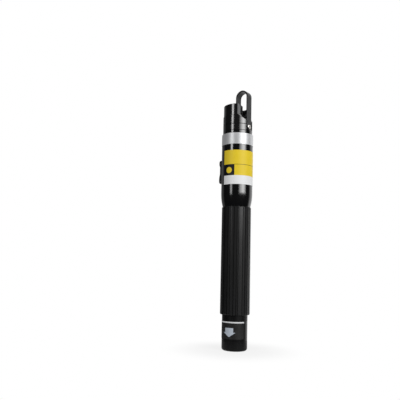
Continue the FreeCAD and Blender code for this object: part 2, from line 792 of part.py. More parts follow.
def export(body):
    """Check one sub-part and write it as a STEP file."""
    for item in [body] + body.Group:
        bad = [word for word in item.State if word in ("Invalid", "Error")]
        if bad:
            raise RuntimeError("%s of %s is in error" % (item.Name, body.Label))
    shape = body.Shape
    if shape.isNull() or not shape.isValid() or shape.Volume <= 0:
        raise RuntimeError(body.Label + " has no sound solid")
    shape.exportStep("parts/%s.step" % body.Label)
    print("%-18s %9.2f mm3  %d solid" % (body.Label, shape.Volume, len(shape.Solids)))


bodies = [
    barrel_housing(), head_shell(), hinge_pin(), port_body(), ferrule_sleeve(),
    laser_housing(), laser_diode(), focus_lens(), driver_board(), driver_chip(),
    driver_inductor(), switch_body(), contact_holder(), front_contact(),
    dry_cell("cell_front", size("cell_base") + size("cell_length")),
    dry_cell("cell_rear", size("cell_base")),
    grip_sleeve(),
    printed_wrap("front_band", size("barrel_radius"), size("wrap_radius"),
                 size("band_low"), size("barrel_top")),
    printed_wrap("wrap_label", size("barrel_radius"), size("wrap_radius"),
                 size("wrap_low"), size("wrap_high"), angle=size("wrap_angle")),
    cap_lever(), dust_cap(), seal_pad(), hinge_knuckle(), lever_screw(),
    switch_knob(), switch_actuator(),
    tail_sleeve(), tail_contact(), tail_spring(),
    printed_wrap("tail_sticker", size("tail_radius"), size("sticker_radius"),
                 size("sticker_low"), size("sticker_high"),
                 angle=size("sticker_angle"), turn=size("sticker_turn")),
]
doc.recompute()
os.makedirs("parts", exist_ok=True)
for finished in bodies:
    export(finished)
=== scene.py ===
# %% [markdown]
# # A visual fault locator, finished in Blender
#
# The tool's pieces come ready-made from the CAD model. This script gives each
# one its finish, shapes a fuller thumb knob, prints the coloured fields on the
# wraps, and sets up a small studio. It is meant to be read from top to bottom.

# %% Load the model
import math
import bmesh
import bpy
from mathutils import Matrix, Vector


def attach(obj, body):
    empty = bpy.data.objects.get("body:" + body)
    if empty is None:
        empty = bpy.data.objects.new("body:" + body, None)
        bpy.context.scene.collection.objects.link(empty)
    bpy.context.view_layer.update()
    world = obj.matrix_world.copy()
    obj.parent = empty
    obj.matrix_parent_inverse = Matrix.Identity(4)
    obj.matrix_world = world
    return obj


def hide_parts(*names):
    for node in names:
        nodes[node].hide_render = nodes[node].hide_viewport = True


MM = 0.001

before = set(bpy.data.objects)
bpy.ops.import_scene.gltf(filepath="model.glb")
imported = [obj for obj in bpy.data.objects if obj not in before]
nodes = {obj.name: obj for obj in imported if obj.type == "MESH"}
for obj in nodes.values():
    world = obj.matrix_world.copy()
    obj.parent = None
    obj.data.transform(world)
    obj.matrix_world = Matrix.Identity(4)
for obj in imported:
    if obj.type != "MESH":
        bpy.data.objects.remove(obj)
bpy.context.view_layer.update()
print("pieces from CAD:", len(nodes))

# %% [markdown]
# ## A short way to write node graphs
#
# A finish in Blender is a graph of nodes. Writing the same three lines for
# every node hides the idea, so `Graph` adds one node, joins two sockets or
# does one sum. The world behind the tool is such a graph too.

# %% Graph helper


class Graph:
    """A node tree, with short ways to add nodes and join them."""

    def __init__(self, tree):
        self.tree = tree

    def add(self, kind, **settings):
        """Add one node and set its own properties."""
        node = self.tree.nodes.new(kind)
        for key, value in settings.items():
            setattr(node, key, value)
        return node

    def feed(self, socket, value):
        """Join a socket to another one, or give it a plain value."""
        if isinstance(value, bpy.types.NodeSocket):
            self.tree.links.new(value, socket)
        else:
            socket.default_value = value

    def sum(self, operation, *values):
        """A maths node on up to three values."""
        node = self.add("ShaderNodeMath", operation=operation)
        for socket, value in zip(node.inputs, values):
            self.feed(socket, value)
        return node.outputs[0]

    def remap(self, value, low, high, to_low, to_high, smooth=False):
        """Stretch a value from one range to another, held at the ends."""
        node = self.add("ShaderNodeMapRange", clamp=True)
        node.interpolation_type = "SMOOTHSTEP" if smooth else "LINEAR"
        for key, number in (("Value", value), ("From Min", low), ("From Max", high),
                            ("To Min", to_low), ("To Max", to_high)):
            self.feed(node.inputs[key], number)
        return node.outputs["Result"]

    def length(self, vector):
        """The length of a vector."""
        node = self.add("ShaderNodeVectorMath", operation="LENGTH")
        self.feed(node.inputs[0], vector)
        return node.outputs["Value"]


# %% [markdown]
# ## One finish, one material
#
# No real surface is even, so every finish here grows from noise, which drives
# colour, roughness and bump. `Finish` is a material with its graph. It reads
# Object coordinates, which are metres in the tool's own frame, so a pattern
# stays put on its piece when the piece moves.

# %% Finish helper


def rgba(value):
    """Give a colour its fourth number if it has three."""
    if isinstance(value, tuple) and len(value) == 3:
        return value + (1.0,)
    return value


class Finish(Graph):
    """One material with its shader, and ways to grow its pattern."""

    def __init__(self, name, roughness=0.5, metallic=0.0, ior=1.5):
        self.material = bpy.data.materials.new(name)
        self.material.use_nodes = True
        super().__init__(self.material.node_tree)
        self.shader = self.tree.nodes["Principled BSDF"]
        self.shader.inputs["Roughness"].default_value = roughness
        self.shader.inputs["Metallic"].default_value = metallic
        self.shader.inputs["IOR"].default_value = ior
        self.place = self.add("ShaderNodeTexCoord").outputs["Object"]

    def noise(self, scale, detail=2.0, stretch=(1.0, 1.0, 1.0)):
        """A noise whose scale is in waves per metre, stretched along the axes."""
        mapping = self.add("ShaderNodeMapping")
        self.feed(mapping.inputs["Vector"], self.place)
        mapping.inputs["Scale"].default_value = stretch
        node = self.add("ShaderNodeTexNoise")
        node.inputs["Scale"].default_value = scale
        node.inputs["Detail"].default_value = detail
        self.feed(node.inputs["Vector"], mapping.outputs["Vector"])
        return node.outputs["Fac"]

    def mix(self, factor, first, second):
        """Blend two colours."""
        node = self.add("ShaderNodeMix", data_type="RGBA")
        self.feed(node.inputs["Factor"], factor)
        self.feed(node.inputs["A"], rgba(first))
        self.feed(node.inputs["B"], rgba(second))
        return node.outputs["Result"]

    def bump(self, height, distance):
        """Turn a height from 0 to 1 into bumps, by how deep they are in mm."""
        node = self.add("ShaderNodeBump")
        node.inputs["Strength"].default_value = 1.0
        node.inputs["Distance"].default_value = distance * MM
        self.feed(node.inputs["Height"], height)
        self.feed(self.shader.inputs["Normal"], node.outputs["Normal"])

    def colour(self, value):
        """Set the base colour."""
        self.feed(self.shader.inputs["Base Color"], rgba(value))

    def rough(self, value):
        """Set the roughness."""
        self.feed(self.shader.inputs["Roughness"], value)


def dress(finish, *names):
    """Put one finish on some CAD pieces."""
    for name in names:
        mesh = nodes[name].data
        mesh.materials.clear()
        mesh.materials.append(finish.material)
    print("%-22s on %s" % (finish.material.name, ", ".join(names)))


# %% [markdown]
# ## Black anodised metal
#
# The barrel, head and tail are turned from aluminium and dyed black. Turning
# leaves hair-fine rings round the axis, so the noise is squeezed along Z and
# stretched round it. The dye is a touch uneven, and handling leaves faint
# smears, which show as changes in roughness more than in colour. A few specks
# of dust lie on top, duller and greyer than the skin.

# %% Turned and anodised black
DEEP_TINT = (0.92, 0.98, 1.10)
WORN_TINT = (1.5, 1.55, 1.65)
DUST_GREY = (0.10, 0.10, 0.10)
DUST_COVER = 0.25
DUST_ROUGH = 0.2


def shaded(colour, factor):
    """A colour made darker or lighter by a factor."""
    return tuple(factor * part for part in colour)


def anodised_black(name, tone, gloss, ring_depth, ior):
    """Dyed aluminium with turning rings."""
    finish = Finish(name, ior=ior)
    rings = finish.noise(26.0, 4.0, stretch=(0.6, 0.6, 420.0))
    smears = finish.noise(95.0, 3.0, stretch=(1.0, 1.0, 0.35))
    specks = finish.noise(2600.0, 1.0)
    dust = finish.remap(specks, 0.74, 0.80, 0.0, 1.0)
    finish.body = finish.mix(smears, shaded(DEEP_TINT, tone), shaded(WORN_TINT, tone))
    finish.colour(finish.mix(finish.sum("MULTIPLY", dust, DUST_COVER), finish.body, DUST_GREY))
    finish.worn = finish.sum("ADD", finish.remap(smears, 0.35, 0.75, gloss, gloss * 1.7),
                             finish.remap(rings, 0.3, 0.8, 0.0, gloss * 0.6))
    finish.rough(finish.sum("ADD", finish.worn, finish.sum("MULTIPLY", dust, DUST_ROUGH)))
    finish.bump(rings, ring_depth)
    return finish


barrel_black = anodised_black("barrel anodised black", tone=0.0028, gloss=0.075,
                              ring_depth=0.0006, ior=1.85)
head_black = anodised_black("head anodised black", tone=0.0050, gloss=0.09,
                            ring_depth=0.0014, ior=1.9)
tail_black = anodised_black("tail anodised black", tone=0.0020, gloss=0.16,
                            ring_depth=0.0010, ior=1.33)
dress(barrel_black, "barrel_housing")
dress(head_black, "head_shell", "hinge_knuckle")
dress(tail_black, "tail_sleeve")

# %% [markdown]
# ## The milled flat
#
# A cutter has milled the flat beside the lever, and its close, crossing marks
# scatter the light, so the flat looks greyer than the turned skin. The flat is
# a plane at one X, so a mask on position finds it. The mask also asks for some
# height, because the round skin lower down crosses the same X.

# %% Milled flat
FLAT_X = 5.05 * MM
FLAT_FROM = 158.2 * MM
ON_PLANE, OFF_PLANE = 0.03 * MM, 0.05 * MM
SOFT_STEP = 0.1 * MM
MILLED_DARK = (0.12, 0.124, 0.13)
MILLED_LIGHT = (0.20, 0.204, 0.21)
MILLED_ROUGH = 0.5


def position(finish, axis):
    """One coordinate of the surface, in metres."""
    split = finish.add("ShaderNodeSeparateXYZ")
    finish.feed(split.inputs[0], finish.place)
    return split.outputs[axis]


def higher_than(finish, height, value=1.0):
    """0 below a height, and a value above it."""
    return finish.remap(position(finish, "Z"), height, height + SOFT_STEP, 0.0, value)


off_flat = head_black.sum("SUBTRACT", position(head_black, "X"), FLAT_X)
in_plane = head_black.remap(head_black.sum("ABSOLUTE", off_flat), ON_PLANE, OFF_PLANE, 1.0, 0.0)
on_flat = head_black.sum("MULTIPLY", higher_than(head_black, FLAT_FROM), in_plane)
cutter_marks = head_black.noise(1300.0, 3.0, stretch=(1.0, 0.25, 1.0))
milled = head_black.mix(cutter_marks, MILLED_DARK, MILLED_LIGHT)
head_black.colour(head_black.mix(on_flat, head_black.body, milled))
head_black.rough(head_black.sum("MAXIMUM", head_black.worn,
                                head_black.sum("MULTIPLY", on_flat, MILLED_ROUGH)))
print("milled flat at x = %.2f mm, from z = %.1f mm" % (FLAT_X / MM, FLAT_FROM / MM))

# %% [markdown]
# ## The satin top of the tail
#
# The top of the tail, which the fingers pull, has been blasted to a satin. Only
# its roughness differs, so the same kind of mask raises that and nothing else.

# %% Satin grip zone
SATIN_FROM = 19.3 * MM
SATIN_ROUGH = 0.42
satin = higher_than(tail_black, SATIN_FROM, SATIN_ROUGH)
tail_black.rough(tail_black.sum("MAXIMUM", tail_black.worn, satin))
print("satin from z = %.1f mm" % (SATIN_FROM / MM))

# %% [markdown]
# ## Blackened steel strap
#
# The lever is a strap of spring steel, blackened and then handled. The black is
# a thin oxide that shines less than bare metal, so the metallic value is low.
# Rolling leaves a grain along the strap. It runs mostly along Z, so the noise
# is stretched that way.

# %% Strap
strap_steel = Finish("strap blackened steel", metallic=0.22, ior=1.46)
grain = strap_steel.noise(900.0, 3.0, stretch=(1.0, 1.0, 0.06))
cloud = strap_steel.noise(160.0, 2.0)
strap_steel.colour(strap_steel.mix(cloud, (0.010, 0.011, 0.012), (0.022, 0.023, 0.025)))
strap_steel.rough(strap_steel.remap(grain, 0.25, 0.8, 0.22, 0.36))
strap_steel.bump(grain, 0.0012)
dress(strap_steel, "cap_lever")

# %% [markdown]
# ## Bare metal, ceramic and plain plastic
#
# Many small pieces have one grain that shows in everything at once: where it is
# high the surface is lighter, duller and a hair higher. One function makes that
# kind of finish. The screw is plated and bright. The pin, port and spring are
# ground or drawn, which draws the marks out along one axis, so their noise is
# stretched.

# %% Screw, pin and port


def grained(name, dark, light, rough, depth, scale, detail=2.0, stretch=(1.0, 1.0, 1.0),
            **settings):
    """A finish whose one grain drives colour, roughness and bump."""
    finish = Finish(name, **settings)
    grain = finish.noise(scale, detail, stretch)
    finish.colour(finish.mix(grain, dark, light))
    finish.rough(finish.remap(grain, 0.3, 0.8, *rough))
    finish.bump(grain, depth)
    return finish


bright_steel = grained("bright plated steel", dark=(0.72, 0.70, 0.66),
                       light=(0.93, 0.91, 0.87), rough=(0.16, 0.30), depth=0.0008,
                       scale=1800.0, detail=3.0, metallic=1.0)
ground_steel = grained("ground steel", dark=(0.42, 0.42, 0.43), light=(0.60, 0.60, 0.60),
                       rough=(0.22, 0.38), depth=0.0008, scale=1500.0,
                       stretch=(1.0, 0.2, 1.0), metallic=1.0)
dress(bright_steel, "lever_screw")
dress(ground_steel, "hinge_pin", "port_body", "tail_spring", "switch_body")

# %% [markdown]
# ## Moulded black pieces
#
# The dust cap and the thumb knob are moulded plastic. A spark-eroded mould
# gives plastic a fine even grain, which makes the bump, while a slower noise
# stands for wear and drives colour and roughness. The cap is duller than the
# knob, which thumbs polish. The seal pad is rubber, the dullest of the three.

# %% Cap, pad and knob


def moulded_black(name, tone, rough, depth):
    """Plastic with a moulded grain."""
    finish = Finish(name, ior=1.5)
    grain = finish.noise(3200.0, 2.0)
    wear = finish.noise(210.0, 3.0)
    finish.colour(finish.mix(wear, (tone, tone, tone * 1.08), (tone * 1.9,) * 3))
    finish.rough(finish.remap(wear, 0.3, 0.75, *rough))
    finish.bump(grain, depth)
    return finish


cap_plastic = moulded_black("dust cap plastic", tone=0.0060, rough=(0.42, 0.55), depth=0.004)
knob_plastic = moulded_black("knob plastic", tone=0.0050, rough=(0.34, 0.50), depth=0.005)
pad_rubber = moulded_black("seal pad rubber", tone=0.0100, rough=(0.70, 0.85), depth=0.006)
dress(cap_plastic, "dust_cap", "driver_chip", "driver_inductor")
dress(knob_plastic, "switch_knob", "switch_actuator")
dress(pad_rubber, "seal_pad")

# %% [markdown]
# ## Thumb knob, seen from the side
#
# The thumb rests in a shallow saddle between two round humps, a long one below
# and a short one above. The CAD knob is plainer, so this piece takes its place
# on the sliding switch. Its side view is worked out from where each hump is and
# how round it is, in mm. The saddle is a flat between them, and a soft maximum
# rounds the corners where the humps rise out of it.

# %% Side view of the knob
KNOB_FOOT = 9.9
KNOB_FOOT_HIGH = 127.6
KNOB_LOW, KNOB_HIGH = 111.95, 128.45
KNOB_REACH = 12.79
SADDLE_REACH = 12.16
LOW_HUMP = (114.6, 13.0)
HIGH_HUMP = (126.2, 5.0)
END_ROUND = 0.9


def hump(height, centre, radius):
    """How far out a round hump reaches at one height."""
    return KNOB_REACH - (height - centre) ** 2 / (2 * radius)


def soft_max(first, second, blur=0.16):
    """The larger of two lengths, with the corner between them rounded."""
    return (first + second + math.hypot(first - second, blur)) / 2


def corner_drop(distance, radius):
    """How far a quarter-round corner falls back at a distance from the end."""
    inside = min(radius, max(0.0, radius - distance))
    return radius - math.sqrt(radius ** 2 - inside ** 2)


def knob_side(inset, steps=72):
    """Side view of the knob as (x, z) in mm, drawn in by an inset at the crown."""
    low, high = KNOB_LOW + inset, KNOB_HIGH - inset
    view = [(-KNOB_FOOT, KNOB_FOOT_HIGH - inset)]
    for step in range(steps + 1):
        height = (low + high) / 2 + (high - low) / 2 * math.cos(math.pi * step / steps)
        humps = max(hump(height, *LOW_HUMP), hump(height, *HIGH_HUMP))
        reach = min(KNOB_REACH, soft_max(SADDLE_REACH, humps))
        reach -= corner_drop(min(height - low, high - height), END_ROUND)
        view.append((-(reach - inset), height))
    view.append((-KNOB_FOOT, low))
    return view


print("knob %.2f mm long, %.2f mm out" % (KNOB_HIGH - KNOB_LOW, KNOB_REACH))

# %% [markdown]
# ## Thumb knob, from slices
#
# Slices of the side view stand beside each other, a little smaller towards both
# flanks, which rounds the edges as a mould would. Each slice is one loop of
# edges. Bridging neighbouring loops makes the skin, and a face fills each
# flank. The skin is shaded smooth. The flanks and the foot are truly flat, so
# they are shaded flat.

# %% Skin of the knob
FLANK = 3.5
FLANK_ROUND = 0.45


def knob_slices(steps=5):
    """Sideways place and inset of each slice, from one flank to the other."""
    rounded = []
    for step in range(steps + 1):
        angle = math.pi / 2 * step / steps
        rounded.append((FLANK - FLANK_ROUND * (1 - math.cos(angle)),
                        FLANK_ROUND * (1 - math.sin(angle))))
    return [(-y, inset) for y, inset in rounded] + [(y, inset) for y, inset in reversed(rounded)]


def slice_loop(sketch, y, inset):
    """One closed loop of edges in the shape of the side view."""
    corners = [sketch.verts.new((x * MM, y * MM, z * MM)) for x, z in knob_side(inset)]
    return [sketch.edges.new(pair) for pair in zip(corners, corners[1:] + corners[:1])]


def innermost(faces):
    """The face that is nearest the tool's axis."""
    return max(faces, key=lambda face: face.calc_center_median().x)


def build_knob(sketch):
    """Bridge the slices and close both flanks, with foot and flanks shaded flat."""
    loops = [slice_loop(sketch, y, inset) for y, inset in knob_slices()]
    for loop, following in zip(loops, loops[1:]):
        skin = bmesh.ops.bridge_loops(sketch, edges=loop + following)["faces"]
        for face in skin:
            face.smooth = True
        innermost(skin).smooth = False
    for loop in (loops[0], loops[-1]):
        flank = bmesh.ops.contextual_create(sketch, geom=loop)["faces"][0]
        flank.smooth = False


# %% [markdown]
# ## Thumb knob, its stem
#
# A stem goes through the slot in the barrel and takes the switch's tongue in a
# socket. It starts as a cube. Its inner face is inset, and the smaller face is
# pushed back into the stem, which leaves walls round the socket.

# %% Stem of the knob
STEM = (2.5, 4.0, 5.0)
STEM_PLACE = (-8.65, 0.0, 119.7)
SOCKET_WALL = 0.8
SOCKET_DEPTH = 1.3


def build_stem(sketch):
    """The stem through the barrel wall, with the socket for the switch's tongue."""
    made = bmesh.ops.create_cube(sketch, size=MM)["verts"]
    bmesh.ops.scale(sketch, vec=STEM, verts=made)
    bmesh.ops.translate(sketch, vec=Vector(STEM_PLACE) * MM, verts=made)
    inner = innermost({face for vert in made for face in vert.link_faces})
    bmesh.ops.inset_region(sketch, faces=[inner], thickness=SOCKET_WALL * MM)
    bmesh.ops.translate(sketch, vec=(-SOCKET_DEPTH * MM, 0.0, 0.0), verts=inner.verts)


knob_mesh = bpy.data.meshes.new("thumb knob")
sketch = bmesh.new()
build_knob(sketch)
build_stem(sketch)
bmesh.ops.recalc_face_normals(sketch, faces=sketch.faces)
sketch.to_mesh(knob_mesh)
sketch.free()
knob_mesh.materials.append(knob_plastic.material)
knob = bpy.data.objects.new("thumb_knob", knob_mesh)
bpy.context.scene.collection.objects.link(knob)
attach(knob, "switch")
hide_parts("switch_knob")
print("thumb knob faces:", len(knob_mesh.polygons))

# %% [markdown]
# ## Rubber grip
#
# The grip is moulded rubber with long grooves, which the CAD model already
# has. Rubber is matt, with a fine skin grain. Its colour is painted lighter
# on the ridges and darker in the grooves, which is painted shade in the
# grooves, and a slow bloom makes the tone along the ridges uneven. Distance
# from the axis tells a ridge from a groove, so no picture has to be painted.
# A thin, duller coat stands for the soft sheen that hands leave on rubber.

# %% Grip rubber
GROOVE_REACH = 9.55 * MM
RIDGE_REACH = 9.93 * MM

rubber = Finish("grip rubber", ior=1.42)
across = rubber.add("ShaderNodeVectorMath", operation="MULTIPLY")
rubber.feed(across.inputs[0], rubber.place)
across.inputs[1].default_value = (1.0, 1.0, 0.0)
reach = rubber.length(across.outputs["Vector"])
ridge = rubber.remap(reach, GROOVE_REACH, RIDGE_REACH, 0.0, 1.0)
skin = rubber.noise(2400.0, 3.0)
bloom = rubber.noise(130.0, 4.0, stretch=(1.0, 1.0, 0.25))
# Painted shade: darker colour in the grooves and lighter on the ridges, with a slow bloom making
# the tone uneven.
ridge_light_and_bloom = rubber.sum("MULTIPLY", ridge, rubber.remap(bloom, 0.35, 0.75, 0.35, 1.0))
rubber.colour(rubber.mix(ridge_light_and_bloom, (0.0015, 0.0016, 0.0018), (0.0050, 0.0054, 0.0058)))
rubber.rough(rubber.remap(bloom, 0.3, 0.8, 0.56, 0.68))
rubber.bump(skin, 0.010)
rubber.shader.inputs["Coat Weight"].default_value = 0.45
rubber.shader.inputs["Coat Roughness"].default_value = 0.22
dress(rubber, "grip_sleeve")

# %% [markdown]
# ## Printed wraps
#
# A band, a label and a sticker are glued round the body. Their print is plain
# fields of colour. Each field is a patch of angle and height, so the graph
# first works out where a point is round the axis, then asks whether it lies
# in each patch. Soft edges about a tenth of a millimetre wide keep the print
# from looking cut with a knife.

# %% Helper for print
EDGE = 0.06 * MM


class Print(Finish):
    """A printed film, laid out by angle round the axis and by height."""

    def __init__(self, name, radius, **settings):
        super().__init__(name, **settings)
        self.radius = radius
        split = self.add("ShaderNodeSeparateXYZ")
        self.feed(split.inputs[0], self.place)
        self.height = split.outputs["Z"]
        self.angle = self.sum("ARCTAN2", split.outputs["Y"], split.outputs["X"])

    def around(self, degrees):
        """Arc length from a direction, in metres along the film."""
        turned = self.sum("SUBTRACT", self.angle, math.radians(degrees))
        wrapped = self.sum("WRAP", turned, math.pi, -math.pi)
        return self.sum("MULTIPLY", wrapped, self.radius)

    def above(self, value, limit):
        """1 where a value is over a limit, with a soft edge."""
        gap = self.sum("SUBTRACT", value, limit)
        return self.remap(gap, -EDGE, EDGE, 0.0, 1.0, smooth=True)

    def below(self, value, limit):
        """1 where a value is under a limit, with a soft edge."""
        return self.sum("SUBTRACT", 1.0, self.above(value, limit))

    def between(self, value, low, high):
        """1 between two limits, with soft edges."""
        return self.sum("SUBTRACT", self.above(value, low), self.above(value, high))

    def row(self, low, high):
        """A field all round between two heights in mm."""
        return self.between(self.height, low * MM, high * MM)

    def patch(self, first, last, low, high):
        """A field between two angles in degrees and two heights in mm."""
        half = math.radians(last - first) / 2 * self.radius
        sideways = self.between(self.around((first + last) / 2), -half, half)
        return self.sum("MULTIPLY", sideways, self.row(low, high))


# %% [markdown]
# ## Front band
#
# The front band is a silvery foil: half mirror, half white ink. A metallic
# value between 0 and 1 isn't a real metal, but it stands well for foil under
# a thin print. Its broad face stays bare, with a light scuff.

# %% Foil of the front band
band = Finish("front band foil", metallic=0.48)
foil = band.noise(700.0, 2.0, stretch=(1.0, 1.0, 0.4))
scuff = band.noise(140.0, 3.0)
band.colour(band.mix(scuff, (0.66, 0.67, 0.685), (0.72, 0.728, 0.738)))
band.rough(band.remap(scuff, 0.3, 0.75, 0.38, 0.46))
band.bump(foil, 0.0015)
dress(band, "front_band")

# %% [markdown]
# ## Wrap label
#
# The label has a yellow upper field, a second row split between a black square
# and a yellow field, and a white strip below. The black square carries one
# plain round spot, and a thin black rule parts the two yellow fields. The
# fields are laid over each other, the largest first, as a printer would.

# %% Fields of the wrap label
LABEL_RADIUS = 10.8 * MM
YELLOW = (0.86, 0.635, 0.022)
INK = (0.004, 0.005, 0.008)
LABEL_FIRST, LABEL_LAST = -112, 112
YELLOW_LOW, YELLOW_HIGH = 115.8, 133.4
SQUARE_LAST = -67
SQUARE_HIGH = 123.4
RULE_LOW, RULE_HIGH = 123.12, 123.38

label = Print("wrap label print", LABEL_RADIUS, ior=1.36)
tint = label.noise(320.0, 3.0)
paper = label.mix(tint, (0.83, 0.84, 0.845), (0.88, 0.885, 0.89))
yellow = label.mix(tint, shaded(YELLOW, 0.94), YELLOW)
fields = label.patch(LABEL_FIRST, LABEL_LAST, YELLOW_LOW, YELLOW_HIGH)
square = label.patch(LABEL_FIRST, SQUARE_LAST, YELLOW_LOW, SQUARE_HIGH)
rule = label.patch(SQUARE_LAST, LABEL_LAST, RULE_LOW, RULE_HIGH)
layout = label.mix(fields, paper, yellow)
layout = label.mix(label.sum("MAXIMUM", square, rule), layout, INK)

# %% [markdown]
# The spot is round, so it is a limit on distance: how far a point is from the
# spot's centre along the film and up it, squared, added and rooted.

# %% Spot of the wrap label
SPOT_ANGLE = -87.5
SPOT_HEIGHT = 119.4 * MM
SPOT_RADIUS = 2.1 * MM

spot_side = label.around(SPOT_ANGLE)
spot_rise = label.sum("SUBTRACT", label.height, SPOT_HEIGHT)
spot_reach = label.sum("SQRT", label.sum("ADD", label.sum("POWER", spot_side, 2.0),
                                         label.sum("POWER", spot_rise, 2.0)))
label.colour(label.mix(label.below(spot_reach, SPOT_RADIUS), layout, yellow))
label.rough(label.remap(tint, 0.3, 0.75, 0.42, 0.52))
label.bump(tint, 0.002)
dress(label, "wrap_label")

# %% [markdown]
# ## Tail sticker
#
# The sticker is satin black with a pale line along its top edge and an arrow
# that points the way the tail pulls off. The arrow is a shaft and a head whose
# half-width shrinks towards the tip.

# %% Print of the tail sticker
STICKER_RADIUS = 8.6 * MM
PALE = (0.46, 0.51, 0.58)
LINE_WHITE = (0.72, 0.73, 0.74)
ARROW_ANGLE = -82.2
ARROW_TIP, ARROW_NECK, ARROW_TAIL = 9.3, 12.2, 15.1
SHAFT_LOW = 12.0
SHAFT_HALF = 2.9 * MM
HEAD_HALF = 4.4 * MM
LINE_LOW, LINE_HIGH = 18.2, 19.05
BORDER_LOW, BORDER_HIGH = 17.85, 19.4

sticker = Print("tail sticker print", STICKER_RADIUS, ior=1.45)
felt = sticker.noise(1500.0, 2.0)
blotch = sticker.noise(190.0, 3.0)
ground = sticker.mix(blotch, (0.0070, 0.0070, 0.0072), (0.0120, 0.0118, 0.0115))
side = sticker.sum("ABSOLUTE", sticker.around(ARROW_ANGLE))
shaft = sticker.sum("MULTIPLY", sticker.row(SHAFT_LOW, ARROW_TAIL), sticker.below(side, SHAFT_HALF))
taper = sticker.remap(sticker.height, ARROW_TIP * MM, ARROW_NECK * MM, 0.0, HEAD_HALF)
inside = sticker.below(sticker.sum("SUBTRACT", side, taper), 0.0)
head = sticker.sum("MULTIPLY", sticker.row(ARROW_TIP, ARROW_NECK), inside)
layout = sticker.mix(sticker.row(BORDER_LOW, BORDER_HIGH), ground, INK)
layout = sticker.mix(sticker.sum("MAXIMUM", shaft, head), layout, PALE)
sticker.colour(sticker.mix(sticker.row(LINE_LOW, LINE_HIGH), layout, LINE_WHITE))
sticker.rough(sticker.remap(blotch, 0.3, 0.75, 0.42, 0.55))
sticker.bump(felt, 0.002)
dress(sticker, "tail_sticker")

# %% [markdown]
# ## Brass and ceramic
#
# Most of the inner pieces hide in the body, but the port and its sleeve show
# when the cap is open, and a reader may want to look inside. The laser's
# housing and the contacts are turned brass, with rings as on the barrel. The
# sleeve that holds a fibre's ferrule is polished white ceramic, hard and even.

# %% Brass and ceramic
brass = grained("turned brass", dark=(0.62, 0.42, 0.13), light=(0.80, 0.60, 0.25),
                rough=(0.22, 0.38), depth=0.001, scale=30.0, detail=3.0,
                stretch=(0.6, 0.6, 300.0), metallic=1.0)
ceramic = grained("white ceramic", dark=(0.74, 0.74, 0.70), light=(0.82, 0.82, 0.79),
                  rough=(0.10, 0.18), depth=0.0004, scale=800.0, ior=2.1)
dress(brass, "laser_housing", "front_contact", "tail_contact", "laser_diode")
dress(ceramic, "ferrule_sleeve")

# %% [markdown]
# ## Lens
#
# The small lens in front of the laser is clear glass. Transmission lets light
# through it, and a faint uneven tint stands for its coating.

# %% Lens glass
glass = Finish("lens glass", roughness=0.02, ior=1.52)
glass.shader.inputs["Transmission Weight"].default_value = 1.0
coating = glass.noise(400.0, 1.0)
glass.colour(glass.mix(coating, (0.90, 0.95, 0.97), (0.96, 0.98, 0.99)))
dress(glass, "focus_lens")

# %% [markdown]
# ## Board and contact holder
#
# The driver board is green solder mask over a glass weave, which shows as a
# faint grain. The disc that holds the front contact is white moulded plastic.

# %% Board and holder
board = grained("board solder mask", dark=(0.006, 0.070, 0.024), light=(0.012, 0.110, 0.040),
                rough=(0.22, 0.36), depth=0.002, scale=1400.0, stretch=(1.0, 1.0, 2.0))
white_plastic = grained("holder plastic", dark=(0.66, 0.66, 0.63), light=(0.74, 0.74, 0.71),
                        rough=(0.38, 0.52), depth=0.003, scale=1600.0)
dress(board, "driver_board")
dress(white_plastic, "contact_holder")

# %% [markdown]
# ## Dry cells
#
# Each cell has a dark jacket with a copper collar at its front end. The cells
# are alike and stand in line, so the second collar is the first one moved up
# by a cell's length, and one material serves both.

# %% Cell jackets
CELL_RADIUS = 7.1 * MM
CELL_LENGTH = 50.5
COLLAR_LOW, COLLAR_HIGH = 44.0, 58.0

jacket = Print("cell jacket", CELL_RADIUS, metallic=0.6)
wrapping = jacket.noise(500.0, 2.0)
collars = jacket.sum("MAXIMUM", jacket.row(COLLAR_LOW, COLLAR_HIGH),
                     jacket.row(COLLAR_LOW + CELL_LENGTH, COLLAR_HIGH + CELL_LENGTH))
jacket.colour(jacket.mix(collars, (0.055, 0.058, 0.064), (0.50, 0.30, 0.10)))
jacket.rough(jacket.remap(wrapping, 0.3, 0.8, 0.24, 0.36))
jacket.bump(wrapping, 0.002)
dress(jacket, "cell_front", "cell_rear")

# %% [markdown]
# ## Studio card
#
# The tool stands on a small round card, pale and matt. The card's object rides
# on the tail, so that it stays under the tool when the tail is pulled off.
# Towards its rim, what the camera sees of it fades to plain white, and the
# soft shadow round the foot is left.

# %% Studio card
CARD_REACH = 0.05
FADE_FROM = 0.3 * CARD_REACH
FADE_NEAR = 0.82

floor_mesh = bpy.data.meshes.new("studio floor")
floor = bpy.data.objects.new("studio floor", floor_mesh)
bpy.context.scene.collection.objects.link(floor)
sketch = bmesh.new()
bmesh.ops.create_circle(sketch, cap_ends=True, segments=96, radius=CARD_REACH)
sketch.to_mesh(floor_mesh)
sketch.free()
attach(floor, "tail")

card = Finish("studio floor", roughness=0.8)
mottle = card.noise(6.0, 2.0)
card.colour(card.mix(mottle, (0.79, 0.79, 0.79), (0.81, 0.81, 0.81)))
camera_ray = card.add("ShaderNodeLightPath").outputs["Is Camera Ray"]
fade = card.remap(card.length(card.place), FADE_FROM, CARD_REACH, FADE_NEAR, 1.0, smooth=True)
glow = card.add("ShaderNodeEmission")
glow.inputs["Strength"].default_value = 1.0
veil = card.add("ShaderNodeMixShader")
card.feed(veil.inputs["Fac"], card.sum("MULTIPLY", camera_ray, fade))
card.feed(veil.inputs[1], card.shader.outputs["BSDF"])
card.feed(veil.inputs[2], glow.outputs["Emission"])
card.feed(card.tree.nodes["Material Output"].inputs["Surface"], veil.outputs["Shader"])
floor_mesh.materials.append(card.material)
print("card laid, %d mm across" % round(2 * CARD_REACH / MM))

